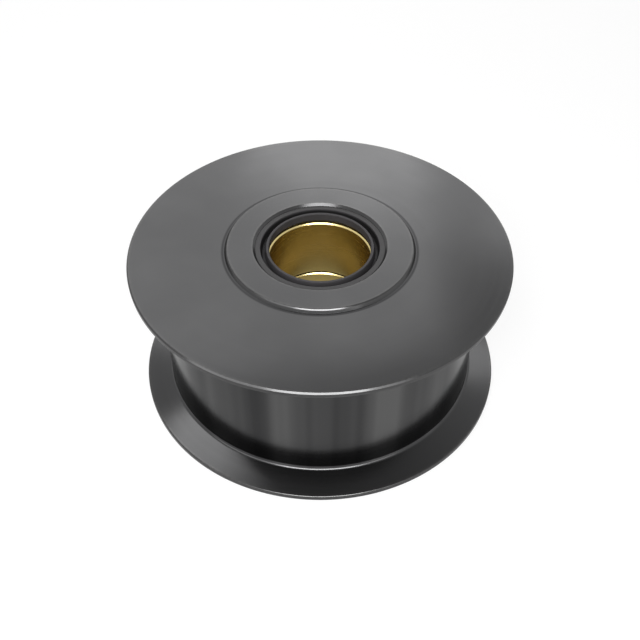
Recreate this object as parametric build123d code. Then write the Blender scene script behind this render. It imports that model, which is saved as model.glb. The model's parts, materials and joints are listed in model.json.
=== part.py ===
from build123d import *
import os

# Double-flanged chain pulley for leaf chain.
# A steel sheave has a smooth tread between two tapered flanges. Its hub
# carries two plain bushes, pressed in from either end, and a grooved rubber
# seal in a wider housing outside each bush. The pin that it turns on is a
# separate part.
#
# Every piece is turned: a half section, given by its corners in radius and
# height, is spun once round Z. Z = 0 is the middle of the width, and the
# pulley rests on the lower boss face. All sizes are in millimetres.

# Chain groove
tread_radius = 47.8             # the chain plates bear on this cylinder
width_over_flanges = 47.2       # between the two outer flange faces
flange_radius = 56.0
flange_rim_width = 1.7          # flange thickness at its rim
flange_root_width = 4.5         # flange thickness at the tread
root_fillet = 0.8               # hollow corner between tread and flange
rim_chamfer = 0.3               # outer edge of the rim
rim_round = 0.5                 # inner edge of the rim

# Boss on each outer face
boss_radius = 27.95             # at its foot
boss_height = 1.05
boss_taper = 0.5                # its side leans in by this much
boss_chamfer = 0.3
boss_foot_fillet = 0.2

# Bore
pin_radius = 14.95              # the pin that the pulley turns on
running_clearance = 0.05        # on the radius, between pin and bush
mouth_chamfer = 0.45            # edge of the seal housing, at 45 degrees

# Bushes
bush_wall = 2.5
bush_recess = 4.3               # from the boss face down to the bush
bush_gap = 0.5                  # grease space between the two bushes
bush_bore_chamfer = 0.4
bush_lead_chamfer = 0.4         # outside edges, for pressing in

# Seals, each with two lips round a groove that opens outwards
seal_width = 4.0                # radial, from the bush bore to the housing
seal_recess = 0.75              # from the boss face down to the seal
seal_rim_width = 1.5            # outer lip, at its top
seal_groove_width = 1.75        # at its mouth
seal_groove_taper = 0.5         # each side leans in by this much
seal_groove_depth = 2.0
seal_lip_clearance = 0.03       # on the radius, between pin and inner lip
seal_lip_height = 2.25          # along the pin
seal_heel_width = 2.8           # the part that stands on the bush
seal_edge_round = 0.12
seal_lip_round = 0.25           # top inner edge, where the pin goes in

# Sizes that follow from those above
flange_face = width_over_flanges / 2
boss_face = flange_face + boss_height
tread_end = flange_face - flange_root_width
rim_inner_edge = flange_face - flange_rim_width
boss_edge_radius = boss_radius - boss_taper
bore_radius = pin_radius + running_clearance
hub_bore_radius = bore_radius + bush_wall
housing_radius = bore_radius + seal_width
bush_outer_end = boss_face - bush_recess
bush_inner_end = bush_gap / 2
seal_top = boss_face - seal_recess
seal_lip_radius = pin_radius + seal_lip_clearance


def half_section(corners, rounds, bevels):
    """Face with the named corners rounded or bevelled by the sizes given."""
    with BuildSketch() as section:
        with BuildLine():
            Polyline(*corners.values(), close=True)
        make_face()
        for name, size in rounds.items():
            fillet(section.vertices().sort_by_distance(corners[name])[0], size)
        for name, size in bevels.items():
            chamfer(section.vertices().sort_by_distance(corners[name])[0], size)
    return section.sketch


def turned(section):
    """Stand a half section up on the XZ plane and spin it once round Z."""
    return revolve(Plane.XZ * section, axis=Axis.Z)


def lower_twin(piece):
    """The same piece at the other end of the bore."""
    return mirror(piece, about=Plane.XY)


def make_pulley_body():
    """Hub, tread and both flanges, turned from one piece of steel."""
    corners = {
        "bore middle": (hub_bore_radius, 0),
        "housing inner": (hub_bore_radius, bush_outer_end),
        "housing outer": (housing_radius, bush_outer_end),
        "mouth": (housing_radius, boss_face),
        "boss edge": (boss_edge_radius - boss_chamfer, boss_face),
        "boss side": (boss_edge_radius, boss_face - boss_chamfer),
        "boss foot": (boss_radius, flange_face),
        "rim outer edge": (flange_radius, flange_face),
        "rim inner edge": (flange_radius, rim_inner_edge),
        "flange root": (tread_radius, tread_end),
        "tread middle": (tread_radius, 0),
    }
    rounds = {
        "boss foot": boss_foot_fillet,
        "rim inner edge": rim_round,
        "flange root": root_fillet,
    }
    bevels = {
        "mouth": mouth_chamfer,
        "rim outer edge": rim_chamfer,
    }
    upper_half = half_section(corners, rounds, bevels)
    lower_half = mirror(upper_half, about=Plane.XZ)
    return turned(upper_half + lower_half)


def make_bush():
    """Plain bush of the upper end, with its bore chamfered at both ends."""
    corners = {
        "bore inner end": (bore_radius, bush_inner_end),
        "bore outer end": (bore_radius, bush_outer_end),
        "lead outer end": (hub_bore_radius, bush_outer_end),
        "lead inner end": (hub_bore_radius, bush_inner_end),
    }
    bevels = {
        "bore inner end": bush_bore_chamfer,
        "bore outer end": bush_bore_chamfer,
        "lead outer end": bush_lead_chamfer,
        "lead inner end": bush_lead_chamfer,
    }
    return turned(half_section(corners, {}, bevels))


def make_seal():
    """Seal of the upper end, standing on the bush in its housing.

    The outer lip grips the housing and the inner lip runs on the pin. Below
    it the seal's inner side is cut away, down to the heel.
    """
    rim_inner = housing_radius - seal_rim_width
    lip_outer = rim_inner - seal_groove_width
    groove_floor = seal_top - seal_groove_depth
    corners = {
        "lip top inner": (seal_lip_radius, seal_top),
        "lip top outer": (lip_outer, seal_top),
        "groove lip side": (lip_outer + seal_groove_taper, groove_floor),
        "groove rim side": (rim_inner - seal_groove_taper, groove_floor),
        "rim top inner": (rim_inner, seal_top),
        "rim top outer": (housing_radius, seal_top),
        "heel outer": (housing_radius, bush_outer_end),
        "heel inner": (housing_radius - seal_heel_width, bush_outer_end),
        "lip foot": (seal_lip_radius, seal_top - seal_lip_height),
    }
    rounds = {
        "lip top inner": seal_lip_round,
        "lip top outer": seal_edge_round,
        "groove lip side": seal_edge_round,
        "groove rim side": seal_edge_round,
        "rim top inner": seal_edge_round,
        "rim top outer": seal_edge_round,
        "lip foot": seal_edge_round,
    }
    return turned(half_section(corners, rounds, bevels={}))


bush_upper = make_bush()
seal_upper = make_seal()
pieces = {
    "pulley_body": make_pulley_body(),
    "bush_upper": bush_upper,
    "bush_lower": lower_twin(bush_upper),
    "seal_upper": seal_upper,
    "seal_lower": lower_twin(seal_upper),
}

os.makedirs("parts", exist_ok=True)
for node, piece in pieces.items():
    export_step(piece, f"parts/{node}.step")
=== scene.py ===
"""Chain pulley: finished surfaces of its turned pieces, and a small studio.

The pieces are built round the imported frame. Lengths are in metres, and Z is
the axis of the bore, with the middle of the pulley's width at zero.
"""

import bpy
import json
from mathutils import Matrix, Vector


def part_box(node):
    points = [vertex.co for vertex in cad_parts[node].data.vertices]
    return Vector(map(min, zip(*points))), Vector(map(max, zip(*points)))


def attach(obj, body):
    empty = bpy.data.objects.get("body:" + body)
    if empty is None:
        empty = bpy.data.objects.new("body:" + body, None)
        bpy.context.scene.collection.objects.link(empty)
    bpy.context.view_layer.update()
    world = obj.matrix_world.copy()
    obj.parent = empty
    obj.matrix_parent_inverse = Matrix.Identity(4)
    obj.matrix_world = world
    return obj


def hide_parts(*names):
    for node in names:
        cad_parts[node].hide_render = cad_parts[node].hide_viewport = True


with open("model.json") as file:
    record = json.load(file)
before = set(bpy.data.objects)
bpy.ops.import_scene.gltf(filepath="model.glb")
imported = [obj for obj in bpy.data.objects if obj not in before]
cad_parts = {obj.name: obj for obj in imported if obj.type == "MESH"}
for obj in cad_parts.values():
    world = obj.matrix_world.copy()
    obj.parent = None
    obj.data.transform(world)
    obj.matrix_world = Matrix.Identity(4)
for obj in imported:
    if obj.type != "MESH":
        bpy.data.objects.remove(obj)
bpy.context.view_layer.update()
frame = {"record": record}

import json
import math

import bpy
import numpy as np
from bpy.props import FloatProperty, FloatVectorProperty, IntProperty, PointerProperty
from mathutils import Vector

bl_info = {
    "name": "Chain Pulley",
    "version": (1, 0, 0),
    "blender": (4, 5, 0),
    "location": "View3D > Sidebar > Pulley",
    "description": "Turns a double-flanged chain pulley with its bushes and seals",
    "category": "Object",
}

MM = 0.001
MOUNTS = {mount["name"]: mount for mount in frame["record"]["mounts"]}
BODY_LOW, BODY_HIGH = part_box("pulley_body")
BUSH_LOW, BUSH_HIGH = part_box("bush_upper")
SEAL_LOW, SEAL_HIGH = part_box("seal_upper")
ROOT = "root"


def length(name, default, description):
    """A length that the user can change, in metres."""
    return FloatProperty(
        name=name, description=description, default=default, min=0.0,
        precision=5, unit="LENGTH",
    )


def colour(name, default, description):
    """A linear colour that the user can change."""
    return FloatVectorProperty(
        name=name, description=description, default=default,
        subtype="COLOR", size=3, min=0.0, max=1.0,
    )


def amount(name, default, description, highest=1.0):
    """A plain number that the user can change."""
    return FloatProperty(
        name=name, description=description, default=default, min=0.0, max=highest,
    )


# Sizes and colours


class SheaveSizes(bpy.types.PropertyGroup):
    """Sizes of the steel sheave."""

    flange_radius: length("Flange radius", BODY_HIGH.x, "Radius of both flanges")
    tread_radius: length(
        "Tread radius", MOUNTS["chain_tread"]["pos_m"][0],
        "Radius of the cylinder that the chain bears on",
    )
    boss_radius: length("Boss radius", 27.95 * MM, "Radius of the boss at its foot")
    boss_taper: length("Boss taper", 0.5 * MM, "How far the side of the boss leans in")
    boss_height: length("Boss height", 1.05 * MM, "How far the boss stands out of the flange")
    rim_width: length("Rim width", 1.7 * MM, "Flange thickness at its rim")
    root_width: length("Root width", 4.5 * MM, "Flange thickness at the tread")
    mouth_chamfer: length("Mouth chamfer", 0.68 * MM, "Edge of the seal housing")
    root_fillet: length("Root fillet", 1.3 * MM, "Hollow corner between tread and flange")
    rim_chamfer: length("Rim chamfer", 0.4 * MM, "Outer edge of the rim")
    rim_round: length("Rim round", 0.5 * MM, "Inner edge of the rim")
    boss_chamfer: length("Boss chamfer", 0.3 * MM, "Edge of the boss")
    boss_round: length("Boss round", 0.25 * MM, "Where the boss face meets its chamfer")
    foot_fillet: length("Foot fillet", 0.06 * MM, "Corner between boss and flange")
    edge_round: length("Edge round", 0.06 * MM, "Rounding left on the other edges")


class LiningSizes(bpy.types.PropertyGroup):
    """Sizes of the bushes and seals that line the bore."""

    bore_radius: length(
        "Bore radius", MOUNTS["shaft_bore"]["dims"]["r_mm"] * MM, "Radius inside the bushes",
    )
    bore_chamfer: length("Bore chamfer", 0.4 * MM, "Inside edge at both ends of a bush")
    lead_chamfer: length("Lead chamfer", 0.4 * MM, "Outside edge at both ends of a bush")
    bush_round: length("Bush edge", 0.08 * MM, "Rounding left on a bush's edges")
    lip_inset: length("Lip inset", 0.02 * MM, "How far the inner lip reaches inside the bush bore")
    lip_height: length("Lip height", 2.25 * MM, "Length of the inner lip along the bore")
    lip_round: length("Lip round", 0.25 * MM, "Top inner edge, where the pin goes in")
    seal_rim: length("Seal rim", 1.5 * MM, "Width of the outer lip at its top")
    groove_width: length("Groove width", 1.75 * MM, "Width of the groove at its mouth")
    groove_taper: length("Groove taper", 0.5 * MM, "How far each side of the groove leans in")
    groove_depth: length("Groove depth", 2.0 * MM, "Depth of the groove between the lips")
    heel_width: length("Heel width", 2.8 * MM, "Width of the part that stands on the bush")
    seal_round: length("Seal edge", 0.12 * MM, "Rounding on the seal's other edges")


class FinishSettings(bpy.types.PropertyGroup):
    """Colours and roughness of the three materials."""

    steel: colour("Steel", (0.067, 0.067, 0.068), "Blackened steel")
    steel_pale: colour("Pale steel", (0.077, 0.077, 0.078), "Where the blackening is thin")
    steel_worn: colour("Worn steel", (0.105, 0.104, 0.102), "Rubbed edges")
    # painted shade: a darker ring round the foot of the boss
    steel_painted_shade: colour("Stained steel", (0.034, 0.034, 0.035), "Ring of dirt round the boss")
    # painted reflection: dark and pale bands along the tread
    reflection_band_dark: colour("Dark band", (0.034, 0.034, 0.035), "Darkest bands along the tread")
    reflection_band_pale: colour("Pale band", (0.1, 0.1, 0.1), "Palest bands along the tread")
    steel_tint: colour("Steel tint", (0.75, 0.75, 0.75), "Reflection at a flat angle")
    steel_roughness: amount("Steel roughness", 0.185, "Of the turned faces")
    bronze: colour("Bronze", (0.54, 0.425, 0.187), "Bore of the bushes")
    bronze_dark: colour("Dark bronze", (0.46, 0.355, 0.14), "Where the bronze has toned down")
    # painted shade in the middle of the bore
    bronze_painted_shade: colour("Deep bronze", (0.38, 0.295, 0.108), "Bore near the grease space")
    # painted highlight on the chamfers of the bushes
    bronze_painted_highlight: colour("Bright bronze", (0.7, 0.58, 0.27), "Chamfers of the bushes")
    bronze_roughness: amount("Bronze roughness", 0.26, "Of the bored faces")
    rubber: colour("Rubber", (0.047, 0.045, 0.047), "Seals")
    rubber_pale: colour("Pale rubber", (0.057, 0.054, 0.058), "Bloom on the rubber")
    rubber_rim: colour("Rubber rim", (0.055, 0.054, 0.055), "Outer lip, dusted grey")
    # painted shade in the groove, which also loses sheen there
    rubber_painted_shade: colour("Groove rubber", (0.008, 0.008, 0.008), "Greasy film in the groove")
    rubber_roughness: amount("Rubber roughness", 0.42, "Of the moulded faces")
    rubber_specular: amount("Rubber specular", 0.12, "Strength of the rubber's sheen")
    groove_specular: amount("Groove specular", 0.06, "Strength of the sheen in the groove")


class StudioSettings(bpy.types.PropertyGroup):
    """Camera, floor and lamps."""

    camera_distance: length("Camera distance", 273.0 * MM, "From the point it looks at")
    camera_elevation: amount("Camera elevation", 45.06, "Degrees above the horizon", 90.0)
    aim_height: FloatProperty(
        name="Aim height", description="Height on the axis that the camera looks at",
        default=-6.7 * MM, precision=5, unit="LENGTH",
    )
    lens: amount("Lens", 48.385, "Focal length in millimetres for a 36 mm wide frame", 200.0)
    floor_size: length("Floor size", 3.0, "Side of the square floor")
    floor_colour: colour("Floor", (0.28, 0.28, 0.28), "Floor, as the lamps light it")
    floor_gap: length("Floor gap", 0.05 * MM, "Keeps the floor clear of the lower boss")
    floor_glow: amount("Floor glow", 0.75, "What lifts the floor to white where it is seen")
    ambient: amount("Ambient", 0.12, "World light on matt surfaces", 2.0)
    ceiling: amount("Ceiling", 0.24, "Brightness straight above, where the horizon is 1")


SETTINGS = {
    "sheave": SheaveSizes,
    "lining": LiningSizes,
    "finish": FinishSettings,
    "studio": StudioSettings,
}


class PulleySettings(bpy.types.PropertyGroup):
    """All settings of the pulley, in one place."""

    sheave: PointerProperty(type=SheaveSizes, name="Sheave", description="Steel sheave")
    lining: PointerProperty(type=LiningSizes, name="Lining", description="Bushes and seals")
    finish: PointerProperty(type=FinishSettings, name="Finish", description="Materials")
    studio: PointerProperty(type=StudioSettings, name="Studio", description="Camera and lamps")
    segments: IntProperty(
        name="Segments", description="Faces round a turned piece", default=360, min=24,
    )
    arc_steps: IntProperty(
        name="Arc steps", description="Faces across a rounded corner", default=7, min=2,
    )


# Turned surfaces

STRIP = 0.7 * MM        # narrow ring of faces left beside each rounded corner


def rounded_outline(corners, radii, steps):
    """Points, outward normals and two marks of a closed outline with rounded corners.

    The corners run anticlockwise in the plane of radius and height. Each one
    becomes an arc tangent to both sides: it starts radius * tan(turn / 2)
    before the corner, and its heading goes evenly from one side's heading to
    the other's. The normal is the heading turned a quarter to the right. Two
    more points on each straight side keep a narrow strip beside its arcs.
    The edge mark is 1 on outward corners and 0 elsewhere. The hollow mark is
    1 on inward corners, and falls off linearly to 0 at the outward corners
    next to them.
    """
    corners = np.array(corners)
    radii = np.array(radii)[:, None]
    side = np.roll(corners, -1, axis=0) - corners
    span = np.linalg.norm(side, axis=1, keepdims=True)
    heading = np.arctan2(side[:, 1], side[:, 0])
    arriving = np.roll(heading, 1)
    turn = (heading - arriving + np.pi) % (2 * np.pi) - np.pi
    outward = np.sign(turn)[:, None]

    back = np.stack([np.cos(arriving), np.sin(arriving)], axis=1)
    cut = radii * np.tan(np.abs(turn) / 2)[:, None]
    start = corners - back * cut
    right = np.stack([np.sin(arriving), -np.cos(arriving)], axis=1)
    centre = start - outward * radii * right
    angle = arriving[:, None] + turn[:, None] * np.linspace(0, 1, steps + 1)
    normal = np.stack([np.sin(angle), -np.cos(angle)], axis=2)
    arc = centre[:, None] + (outward * radii)[:, None] * normal

    end = arc[:, -1]
    ahead = side / span
    straight = span - cut - np.roll(cut, -1, axis=0)
    strip = np.minimum(STRIP, straight / 3)
    inset = np.stack([end + ahead * strip, end + ahead * (straight - strip)], axis=1)
    flat = np.repeat(normal[:, -1:], 2, axis=1)

    points = np.concatenate([arc, inset], axis=1)
    normals = np.concatenate([normal, flat], axis=1)
    on_arc = steps + 1
    edges = np.zeros(points.shape[:2])
    edges[:, :on_arc] = np.maximum(outward, 0)
    inward = np.maximum(-outward, 0)
    share = np.concatenate([strip, straight - strip], axis=1) / straight
    hollows = np.repeat(inward, points.shape[1], axis=1)
    hollows[:, on_arc:] += share * (np.roll(inward, -1, axis=0) - inward)
    return points.reshape(-1, 2), normals.reshape(-1, 2), edges.ravel(), hollows.ravel()


def turned_mesh(name, outline, segments):
    """Mesh of a closed outline spun once round Z.

    A point at radius r and height z goes to (r cos a, r sin a, z) at each
    angle a. Both ways round the grid close on themselves, so the surface has
    no seam and no pole. Its normals are the outline's, turned by the same
    angle, and its UV map is the share of the turn and the way along the outline.
    The outline's marks become the attributes edge and hollow.
    """
    points, normals, edges, hollows = outline
    rings = len(points)
    angle = np.linspace(0, 2 * np.pi, segments, endpoint=False)
    around = np.stack([np.cos(angle), np.sin(angle)], axis=1)

    def spin(flat):
        grid = np.empty((rings, segments, 3))
        grid[:, :, :2] = flat[:, None, :1] * around
        grid[:, :, 2] = flat[:, None, 1]
        return grid.reshape(-1, 3)

    ring, step = np.meshgrid(np.arange(rings), np.arange(segments), indexing="ij")
    next_ring = (ring + 1) % rings
    next_step = (step + 1) % segments
    quads = np.stack(
        [
            ring * segments + step,
            ring * segments + next_step,
            next_ring * segments + next_step,
            next_ring * segments + step,
        ],
        axis=2,
    ).reshape(-1, 4)

    mesh = bpy.data.meshes.new(name)
    mesh.vertices.add(rings * segments)
    mesh.vertices.foreach_set("co", spin(points).ravel())
    mesh.loops.add(quads.size)
    mesh.loops.foreach_set("vertex_index", quads.ravel())
    mesh.polygons.add(len(quads))
    mesh.polygons.foreach_set("loop_start", np.arange(0, quads.size, 4))
    mesh.update(calc_edges=True)

    gap = np.linalg.norm(np.diff(points, axis=0, append=points[:1]), axis=1)
    along = np.concatenate([[0], np.cumsum(gap)])
    u = np.stack([step, step + 1, step + 1, step], axis=2) / segments
    v = along[np.stack([ring, ring, ring + 1, ring + 1], axis=2)]
    uv = mesh.uv_layers.new(name="turned")
    uv.data.foreach_set("uv", np.stack([u, v], axis=3).ravel())

    for mark, values in (("edge", edges), ("hollow", hollows)):
        layer = mesh.attributes.new(mark, "FLOAT", "POINT")
        layer.data.foreach_set("value", np.repeat(values, segments))
    mesh.polygons.foreach_set("use_smooth", np.ones(len(quads), dtype=bool))
    mesh.normals_split_custom_set_from_vertices(spin(normals))
    mesh.validate()
    return mesh


def corners_and_radii(section):
    """Places and roundings of a section's named corners, as two lists."""
    corners = [(radius, height) for radius, height, _ in section.values()]
    return corners, [rounding for _, _, rounding in section.values()]


def mirrored(corners):
    """The same corners at the other end of the bore, still anticlockwise."""
    return [(radius, -height) for radius, height in reversed(corners)]


def add_turned(scene, name, node, corners, radii, material):
    """Turn one piece, put it in the scene and let it stand for its node."""
    outline = rounded_outline(corners, radii, scene.pulley.arc_steps)
    piece = bpy.data.objects.new(name, turned_mesh(name, outline, scene.pulley.segments))
    scene.collection.objects.link(piece)
    piece.data.materials.append(material)
    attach(piece, ROOT)
    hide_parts(node)


# Material nodes

WHITE = (1.0, 1.0, 1.0, 1.0)
NOISE_SPAN = (0.3, 0.7)     # nearly all values of a noise lie between these


class Nodes:
    """Short way to add nodes to a material and join them."""

    def __init__(self, tree):
        self.tree = tree
        tree.nodes.clear()

    def add(self, kind, inputs=None, **options):
        """New node. An input is a value, or an output socket to join to it."""
        node = self.tree.nodes.new(kind)
        for option, value in options.items():
            setattr(node, option, value)
        for socket, value in (inputs or {}).items():
            if isinstance(value, bpy.types.NodeSocket):
                self.tree.links.new(value, node.inputs[socket])
            else:
                node.inputs[socket].default_value = value
        return node

    def math(self, operation, first, second=0.0):
        """Result of one sum on two numbers."""
        node = self.add("ShaderNodeMath", {0: first, 1: second}, operation=operation)
        return node.outputs[0]

    def ramp(self, value, low, high, to_low=0.0, to_high=1.0, shape="LINEAR"):
        """Value stretched from low..high to to_low..to_high, and held there."""
        sockets = {0: value, 1: low, 2: high, 3: to_low, 4: to_high}
        node = self.add("ShaderNodeMapRange", sockets, clamp=True, interpolation_type=shape)
        return node.outputs[0]

    def vary(self, middle, noise, low, high):
        """Middle plus a step that goes from low to high with the noise."""
        return self.math("ADD", self.ramp(noise, *NOISE_SPAN, low, high), middle)

    def mix(self, share, first, second):
        """Colour between two others."""
        node = self.add("ShaderNodeMix", data_type="RGBA")
        for socket, value in zip(("Factor", "A", "B"), (share, first, second)):
            target = next(
                s for s in node.inputs
                if s.name == socket and s.type == ("VALUE" if socket == "Factor" else "RGBA")
            )
            if isinstance(value, bpy.types.NodeSocket):
                self.tree.links.new(value, target)
            else:
                target.default_value = value
        return next(s for s in node.outputs if s.type == "RGBA")

    def noise(self, vector, scale, detail=2.0, roughness=0.5, w=None):
        """Smooth noise from 0 to 1. A fourth coordinate may be given."""
        sockets = {"Vector": vector, "Scale": scale, "Detail": detail, "Roughness": roughness}
        if w is not None:
            sockets["W"] = w
        dimensions = "3D" if w is None else "4D"
        return self.add("ShaderNodeTexNoise", sockets, noise_dimensions=dimensions).outputs[0]

    def mark(self, name):
        """Value of one of the outline's marks."""
        return self.add("ShaderNodeAttribute", attribute_name=name).outputs["Fac"]

    def bump(self, height, distance, normal=None):
        """Normal tilted by a height in the range 0 to 1, at the distance given."""
        sockets = {"Height": height, "Distance": distance}
        if normal is not None:
            sockets["Normal"] = normal
        return self.add("ShaderNodeBump", sockets).outputs[0]


def opaque(rgb):
    """The colour with full alpha, as a socket wants it."""
    return (*rgb, 1.0)


def round_axis(nodes, place):
    """Distance from Z, direction from Z as a vector of length 1, and height."""
    split = nodes.add("ShaderNodeSeparateXYZ", {0: place})
    flat = nodes.add("ShaderNodeCombineXYZ", {0: split.outputs[0], 1: split.outputs[1]})
    radius = nodes.add("ShaderNodeVectorMath", {0: flat.outputs[0]}, operation="LENGTH")
    facing = nodes.add("ShaderNodeVectorMath", {0: flat.outputs[0]}, operation="NORMALIZE")
    return radius.outputs["Value"], facing.outputs[0], split.outputs[2]


def turning_lines(nodes, place, pitch, wander):
    """Noise that runs in rings round Z, as a lathe tool leaves it.

    It depends on radius and height alone, apart from a slow drift round the
    axis, whose size is wander.
    """
    radius, facing, height = round_axis(nodes, place)
    drift = nodes.add("ShaderNodeVectorMath", {0: facing, "Scale": wander}, operation="SCALE")
    aside, ahead, _ = nodes.add("ShaderNodeSeparateXYZ", {0: drift.outputs[0]}).outputs
    spot = nodes.add("ShaderNodeCombineXYZ", {0: radius, 1: height, 2: aside})
    return nodes.noise(spot.outputs[0], 1 / pitch, detail=3.0, roughness=0.6, w=ahead)


# How far outside the foot of the boss its painted shade starts, is full, thins and ends.
BOSS_SHADE_STEPS = (-0.3 * MM, 0.5 * MM, 0.7 * MM, 1.1 * MM)


def boss_foot_painted_shade(nodes, place, sheave):
    """1 in a ring of painted shade round the foot of the boss, fading out on both sides."""
    radius = round_axis(nodes, place)[0]
    start, full, thin, end = (sheave.boss_radius + step for step in BOSS_SHADE_STEPS)
    rising = nodes.ramp(radius, start, full)
    falling = nodes.ramp(radius, thin, end, 1.0, 0.0)
    return nodes.math("MULTIPLY", rising, falling)


BAND_FADE = 1 * MM          # over which the bands end at the tread's edges
BAND_COUNT = 4.8            # scale of their noise on a circle of radius 1
BAND_PATTERN = 21.95        # picks one arrangement of them


def painted_reflection_bands(nodes, place, sheave):
    """1 on the tread, and the share of pale in soft bands of painted reflection that run along it.

    The bands depend on the direction from Z alone.
    """
    radius, facing, height = round_axis(nodes, place)
    tread_end = BODY_HIGH.z - sheave.boss_height - sheave.root_width
    tread = sheave.tread_radius
    near = nodes.ramp(radius, tread, tread + BAND_FADE, 1.0, 0.0)
    level = nodes.math("ABSOLUTE", height)
    between = nodes.ramp(level, tread_end - BAND_FADE, tread_end + BAND_FADE, 1.0, 0.0)
    across = nodes.noise(facing, scale=BAND_COUNT, w=BAND_PATTERN)
    return nodes.math("MULTIPLY", near, between), nodes.ramp(across, 0.36, 0.7)


def new_material(name):
    """Empty material with its node helper and the place on the object."""
    material = bpy.data.materials.new(name)
    material.use_nodes = True
    nodes = Nodes(material.node_tree)
    place = nodes.add("ShaderNodeTexCoord").outputs["Object"]
    return material, nodes, place


def finish_material(nodes, sockets):
    """Principled shader with these sockets, joined to the output."""
    shader = nodes.add("ShaderNodeBsdfPrincipled", sockets)
    nodes.add("ShaderNodeOutputMaterial", {"Surface": shader.outputs[0]})


def blackened_steel(finish, sheave):
    """Fine-turned steel with a dark oxide, thinner in patches and rubbed on its edges.

    Painted shade darkens the corner round the boss, and soft bands of painted reflection run along
    the tread.
    """
    material, nodes, place = new_material("blackened_steel_turned")
    patches = nodes.noise(place, scale=32.0, detail=3.0)
    specks = nodes.noise(place, scale=900.0, detail=2.0)
    lines = turning_lines(nodes, place, pitch=0.45 * MM, wander=0.1 * MM)
    rings = turning_lines(nodes, place, pitch=5 * MM, wander=1.2 * MM)

    thin = nodes.ramp(patches, 0.38, 0.68)
    oxide = nodes.mix(thin, opaque(finish.steel), opaque(finish.steel_pale))
    rubbed = nodes.math("MULTIPLY", nodes.mark("edge"), nodes.ramp(specks, 0.35, 0.7, 0.1, 0.6))
    base = nodes.mix(rubbed, oxide, opaque(finish.steel_worn))

    # Painted shade: a darker ring round the foot of the boss
    base = nodes.mix(boss_foot_painted_shade(nodes, place, sheave), base, opaque(finish.steel_painted_shade))
    # Painted reflection: soft dark and pale bands along the tread
    tread, across = painted_reflection_bands(nodes, place, sheave)
    painted_bands = nodes.mix(across, opaque(finish.reflection_band_dark), opaque(finish.reflection_band_pale))
    base = nodes.mix(tread, base, painted_bands)

    rough = nodes.vary(finish.steel_roughness, lines, -0.02, 0.02)
    rough = nodes.vary(rough, rings, -0.012, 0.012)
    rough = nodes.vary(rough, patches, 0.015, -0.015)
    grain = nodes.bump(specks, distance=0.0006 * MM)
    normal = nodes.bump(lines, distance=0.0012 * MM, normal=grain)
    finish_material(nodes, {
        "Base Color": base, "Metallic": 1.0, "Roughness": rough, "Normal": normal,
        "Specular Tint": opaque(finish.steel_tint),
    })
    return material


# Painted shade in the middle of the bore: full up to the first height, gone at the second.
DEEP_BORE = (3 * MM, 9 * MM)                # heights where the toning is full, and gone
CHAMFER_START = (0.05 * MM, 0.15 * MM)      # outside the bore, where its wall ends


def bored_bronze(finish, lining):
    """Bearing bronze, bored smooth, toned in patches, with painted shade deep in the bore.

    The chamfers, which are wider than the bore, carry a painted highlight: a brighter colour than
    its wall.
    """
    material, nodes, place = new_material("bush_bronze_bored")
    patches = nodes.noise(place, scale=90.0, detail=3.0)
    lines = turning_lines(nodes, place, pitch=0.3 * MM, wander=0.08 * MM)
    toned = nodes.ramp(patches, 0.35, 0.7)
    base = nodes.mix(toned, opaque(finish.bronze), opaque(finish.bronze_dark))
    radius, _, height = round_axis(nodes, place)
    # Painted shade deep in the bore
    deep = nodes.ramp(nodes.math("ABSOLUTE", height), *DEEP_BORE, 1.0, 0.0)
    base = nodes.mix(deep, base, opaque(finish.bronze_painted_shade))
    # Painted highlight: a brighter colour on the chamfers
    chamfer = nodes.ramp(radius, *(lining.bore_radius + step for step in CHAMFER_START))
    base = nodes.mix(chamfer, base, opaque(finish.bronze_painted_highlight))

    rough = nodes.vary(finish.bronze_roughness, lines, -0.02, 0.02)
    normal = nodes.bump(lines, distance=0.0004 * MM)
    finish_material(nodes, {
        "Base Color": base, "Metallic": 1.0, "Roughness": rough, "Normal": normal,
    })
    return material


RIM_PALE_FADE = 0.2 * MM        # over which the dusty grey of the outer lip begins


def moulded_rubber(finish, rim, lip_back):
    """Satin black rubber with a faint bloom and a fine moulded grain.

    It is paler outside the radius rim, and painted shade darkens the groove, most on
    its rim side and least on its lip side, at the radius lip_back.
    """
    material, nodes, place = new_material("seal_rubber_moulded")
    bloom = nodes.noise(place, scale=160.0, detail=4.0)
    grain = nodes.noise(place, scale=2600.0, detail=2.0)
    bloomed = nodes.ramp(bloom, 0.4, 0.75)
    base = nodes.mix(bloomed, opaque(finish.rubber), opaque(finish.rubber_pale))
    radius = round_axis(nodes, place)[0]
    paler_rim = nodes.ramp(radius, rim, rim + RIM_PALE_FADE)
    base = nodes.mix(paler_rim, base, opaque(finish.rubber_rim))

    # Painted shade in the groove: darker colour and less sheen, most on its rim side
    hollow = nodes.ramp(nodes.mark("hollow"), 0.02, 0.3)
    groove_shade = nodes.math("MULTIPLY", hollow, nodes.ramp(radius, lip_back, rim, 0.3, 1.0))
    base = nodes.mix(groove_shade, base, opaque(finish.rubber_painted_shade))
    sheen = nodes.ramp(groove_shade, 0.0, 1.0, finish.rubber_specular, finish.groove_specular)
    rough = nodes.vary(finish.rubber_roughness, bloom, -0.04, 0.06)
    normal = nodes.bump(grain, distance=0.004 * MM)
    finish_material(nodes, {
        "Base Color": base, "Roughness": rough, "Normal": normal,
        "Specular IOR Level": sheen,
    })
    return material


# Operators


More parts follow.
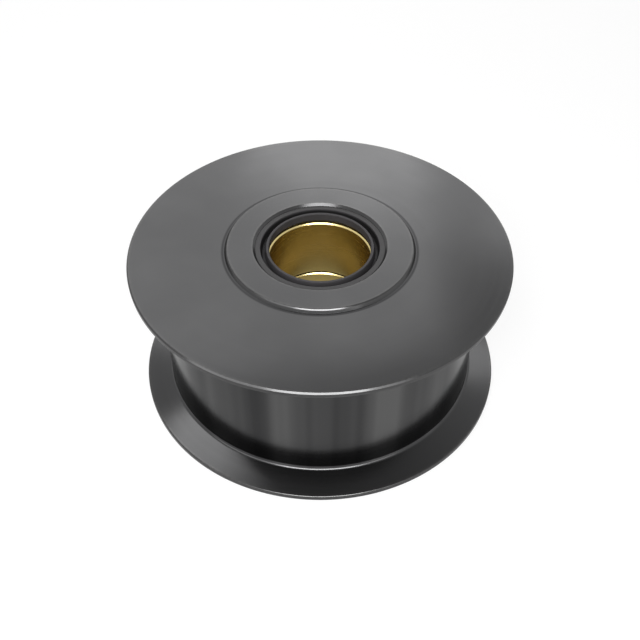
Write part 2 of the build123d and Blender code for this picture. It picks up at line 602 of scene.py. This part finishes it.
class PULLEY_OT_body(bpy.types.Operator):
    """Turn the steel sheave: hub, tread, two flanges and two bosses"""

    bl_idname = "pulley.body"
    bl_label = "Turn sheave"

    def execute(self, context):
        size = context.scene.pulley.sheave
        boss_face = BODY_HIGH.z
        flange_face = boss_face - size.boss_height
        hub_bore, housing = BUSH_HIGH.x, SEAL_HIGH.x
        boss_edge = size.boss_radius - size.boss_taper
        lower = {
            "housing inner": (hub_bore, -BUSH_HIGH.z, size.edge_round),
            "housing outer": (housing, -BUSH_HIGH.z, size.edge_round),
            "mouth inner": (housing, size.mouth_chamfer - boss_face, size.edge_round),
            "mouth outer": (housing + size.mouth_chamfer, -boss_face, size.edge_round),
            "boss edge": (boss_edge - size.boss_chamfer, -boss_face, size.boss_round),
            "boss side": (boss_edge, size.boss_chamfer - boss_face, size.edge_round),
            "boss foot": (size.boss_radius, -flange_face, size.foot_fillet),
            "rim face": (size.flange_radius - size.rim_chamfer, -flange_face, size.edge_round),
            "rim side": (size.flange_radius, size.rim_chamfer - flange_face, size.edge_round),
            "rim inner edge": (size.flange_radius, size.rim_width - flange_face, size.rim_round),
            "flange root": (size.tread_radius, size.root_width - flange_face, size.root_fillet),
        }
        corners, radii = corners_and_radii(lower)
        add_turned(
            context.scene, "sheave", "pulley_body", corners + mirrored(corners),
            radii + radii[::-1], blackened_steel(context.scene.pulley.finish, size),
        )
        return {"FINISHED"}


class PULLEY_OT_bushes(bpy.types.Operator):
    """Turn the two plain bushes"""

    bl_idname = "pulley.bushes"
    bl_label = "Turn bushes"

    def execute(self, context):
        size = context.scene.pulley.lining
        bronze = bored_bronze(context.scene.pulley.finish, size)
        inner, outer = size.bore_radius, BUSH_HIGH.x
        foot, top = BUSH_LOW.z, BUSH_HIGH.z
        bevel, lead = size.bore_chamfer, size.lead_chamfer
        corners = [
            (inner, foot + bevel), (inner + bevel, foot), (outer - lead, foot),
            (outer, foot + lead), (outer, top - lead), (outer - lead, top),
            (inner + bevel, top), (inner, top - bevel),
        ]
        radii = [size.bush_round] * len(corners)
        add_turned(context.scene, "bush_top", "bush_upper", corners, radii, bronze)
        add_turned(context.scene, "bush_base", "bush_lower", mirrored(corners), radii, bronze)
        return {"FINISHED"}


class PULLEY_OT_seals(bpy.types.Operator):
    """Turn the two lip seals"""

    bl_idname = "pulley.seals"
    bl_label = "Turn lip seals"

    def execute(self, context):
        size = context.scene.pulley.lining
        housing, foot, top = SEAL_HIGH.x, SEAL_LOW.z, SEAL_HIGH.z
        lip = size.bore_radius - size.lip_inset
        rim = housing - size.seal_rim
        lip_back = rim - size.groove_width
        floor = top - size.groove_depth
        edge = size.seal_round
        rubber = moulded_rubber(context.scene.pulley.finish, rim, lip_back)
        section = {
            "heel inner": (housing - size.heel_width, foot, edge),
            "heel outer": (housing, foot, edge),
            "rim top outer": (housing, top, edge),
            "rim top inner": (rim, top, edge),
            "groove rim side": (rim - size.groove_taper, floor, edge),
            "groove lip side": (lip_back + size.groove_taper, floor, edge),
            "lip top outer": (lip_back, top, edge),
            "lip top inner": (lip, top, size.lip_round),
            "lip foot": (lip, top - size.lip_height, edge),
        }
        corners, radii = corners_and_radii(section)
        add_turned(context.scene, "seal_top", "seal_upper", corners, radii, rubber)
        add_turned(
            context.scene, "seal_base", "seal_lower", mirrored(corners), radii[::-1], rubber,
        )
        return {"FINISHED"}


# Studio


def seen_directly(nodes):
    """1 for rays from the camera, or by way of a glossy or clear surface, else 0."""
    path = nodes.add("ShaderNodeLightPath").outputs
    seen = nodes.math("MAXIMUM", path["Is Camera Ray"], path["Is Glossy Ray"])
    return nodes.math("MAXIMUM", seen, path["Is Transmission Ray"])


GLOW_EVEN = 0.3             # metres from the pulley to where the glow starts to rise
COVER_FADE = 2 * MM         # over which the glow comes in outside the covered part


def floor_material(studio, covered):
    """Pale floor that reads white where it is seen, and keeps the soft shadow.

    It doesn't glow within the covered radius, where the bore shades it. Far
    off it glows as brightly as the world, and from below it is clear.
    """
    material, nodes, place = new_material("studio_floor")
    matt = nodes.add("ShaderNodeBsdfDiffuse", {"Color": opaque(studio.floor_colour)})
    away = nodes.add("ShaderNodeVectorMath", {0: place}, operation="LENGTH").outputs["Value"]
    level = nodes.ramp(away, GLOW_EVEN, studio.floor_size / 2, studio.floor_glow, 1.0)
    open_floor = nodes.ramp(away, covered, covered + COVER_FADE, 0.0, level)
    glow = nodes.add("ShaderNodeEmission", {
        "Color": WHITE, "Strength": nodes.math("MULTIPLY", seen_directly(nodes), open_floor),
    })
    both = nodes.add("ShaderNodeAddShader", {0: matt.outputs[0], 1: glow.outputs[0]})
    below = nodes.add("ShaderNodeNewGeometry").outputs["Backfacing"]
    clear = nodes.add("ShaderNodeBsdfTransparent")
    sides = {0: below, 1: both.outputs[0], 2: clear.outputs[0]}
    surface = nodes.add("ShaderNodeMixShader", sides)
    nodes.add("ShaderNodeOutputMaterial", {"Surface": surface.outputs[0]})
    return material


SKY_DIMS_FROM = math.radians(10)     # elevation up to which the sky is white
ZENITH = math.radians(90)


def studio_world(scene, studio):
    """World that is white at the horizon, grey overhead, and lights matt surfaces softly."""
    world = bpy.data.worlds.new("studio_world")
    world.use_nodes = True
    scene.world = world
    nodes = Nodes(world.node_tree)
    towards = nodes.add("ShaderNodeTexCoord").outputs["Generated"]
    up = nodes.add("ShaderNodeSeparateXYZ", {0: towards}).outputs[2]
    elevation = nodes.math("ARCSINE", up)
    shade = nodes.ramp(elevation, SKY_DIMS_FROM, ZENITH, 1.0, studio.ceiling, "SMOOTHSTEP")
    level = nodes.ramp(seen_directly(nodes), 0.0, 1.0, studio.ambient, 1.0)
    sky = nodes.add("ShaderNodeBackground", {
        "Color": WHITE, "Strength": nodes.math("MULTIPLY", shade, level),
    })
    nodes.add("ShaderNodeOutputWorld", {"Surface": sky.outputs[0]})


# Softboxes: heading from the front to the right, elevation, width, height
# (all in degrees, as seen from the pulley) and brightness, where 1 is white.
SOFTBOXES = {
    "key": (0.0, 46.5, 40.0, 20.0, 10.5),
    "front": (-12.0, 41.0, 100.0, 20.0, 2.0),
    "left": (-105.0, 59.5, 17.0, 33.0, 2.6),
    "back_left": (-162.0, 37.0, 48.0, 35.5, 1.25),
    "back_right": (157.0, 31.5, 51.5, 18.0, 1.45),
}
LAMP_DISTANCE = 0.6
LAMP_SCALE = math.pi     # watts for each unit of brightness and square metre


def add_softbox(scene, name, heading, elevation, width, height, brightness):
    """Rectangular lamp that faces the pulley's middle."""
    turn, tilt = math.radians(heading), math.radians(elevation)
    away = Vector((
        math.sin(turn) * math.cos(tilt), -math.cos(turn) * math.cos(tilt), math.sin(tilt),
    ))
    lamp = bpy.data.lights.new(name, "AREA")
    lamp.shape = "RECTANGLE"
    lamp.size = 2 * LAMP_DISTANCE * math.tan(math.radians(width) / 2)
    lamp.size_y = 2 * LAMP_DISTANCE * math.tan(math.radians(height) / 2)
    lamp.energy = brightness * LAMP_SCALE * lamp.size * lamp.size_y
    holder = bpy.data.objects.new(name, lamp)
    holder.location = away * LAMP_DISTANCE
    holder.rotation_mode = "QUATERNION"
    holder.rotation_quaternion = (-away).to_track_quat("-Z", "Y")
    scene.collection.objects.link(holder)


SENSOR_WIDTH = 36.0      # millimetres, the frame that the lens is stated for


def add_camera(scene, studio):
    """Camera in front of the pulley, looking down at a point on its axis."""
    tilt = math.radians(studio.camera_elevation)
    back = Vector((0.0, -math.cos(tilt), math.sin(tilt)))
    camera = bpy.data.cameras.new("camera")
    camera.sensor_width = SENSOR_WIDTH
    camera.lens = studio.lens
    camera.clip_start = 10 * MM
    holder = bpy.data.objects.new("camera", camera)
    holder.location = Vector((0.0, 0.0, studio.aim_height)) + back * studio.camera_distance
    holder.rotation_mode = "QUATERNION"
    holder.rotation_quaternion = (-back).to_track_quat("-Z", "Y")
    scene.collection.objects.link(holder)
    scene.camera = holder


class PULLEY_OT_stage(bpy.types.Operator):
    """Set up the floor, the white surroundings, the lamps and the camera"""

    bl_idname = "pulley.stage"
    bl_label = "Set up studio"

    def execute(self, context):
        scene = context.scene
        studio = scene.pulley.studio
        reach = studio.floor_size / 2
        level = BODY_LOW.z - studio.floor_gap
        mesh = bpy.data.meshes.new("studio_floor")
        mesh.from_pydata(
            [(-reach, -reach, level), (reach, -reach, level),
             (reach, reach, level), (-reach, reach, level)],
            [], [(0, 1, 2, 3)],
        )
        floor = bpy.data.objects.new("studio_floor", mesh)
        scene.collection.objects.link(floor)
        floor.data.materials.append(floor_material(studio, BUSH_HIGH.x))
        studio_world(scene, studio)
        for name, softbox in SOFTBOXES.items():
            add_softbox(scene, name, *softbox)
        add_camera(scene, studio)
        scene.view_settings.view_transform = "Standard"
        return {"FINISHED"}


class PULLEY_PT_panel(bpy.types.Panel):
    """Lists the steps that build the pulley, and its settings"""

    bl_idname = "PULLEY_PT_panel"
    bl_label = "Chain Pulley"
    bl_space_type = "VIEW_3D"
    bl_region_type = "UI"
    bl_category = "Pulley"

    def draw(self, context):
        layout = self.layout
        pulley = context.scene.pulley
        for operator in STEPS:
            layout.operator(operator.bl_idname)
        layout.prop(pulley, "segments")
        layout.prop(pulley, "arc_steps")
        for group, settings in SETTINGS.items():
            box = layout.box()
            box.label(text=group.capitalize())
            for name in settings.__annotations__:
                box.prop(getattr(pulley, group), name)


STEPS = (PULLEY_OT_body, PULLEY_OT_bushes, PULLEY_OT_seals, PULLEY_OT_stage)
CLASSES = (*SETTINGS.values(), PulleySettings, *STEPS, PULLEY_PT_panel)


def register():
    """Make the settings, operators and panel known to Blender."""
    for cls in CLASSES:
        bpy.utils.register_class(cls)
    bpy.types.Scene.pulley = PointerProperty(
        type=PulleySettings, name="Pulley", description="Settings of the chain pulley",
    )


def unregister():
    """Take them away again."""
    del bpy.types.Scene.pulley
    for cls in reversed(CLASSES):
        bpy.utils.unregister_class(cls)


def main():
    """Build the pulley and its studio."""
    register()
    bpy.ops.pulley.body()
    bpy.ops.pulley.bushes()
    bpy.ops.pulley.seals()
    bpy.ops.pulley.stage()


if __name__ == "__main__":
    main()
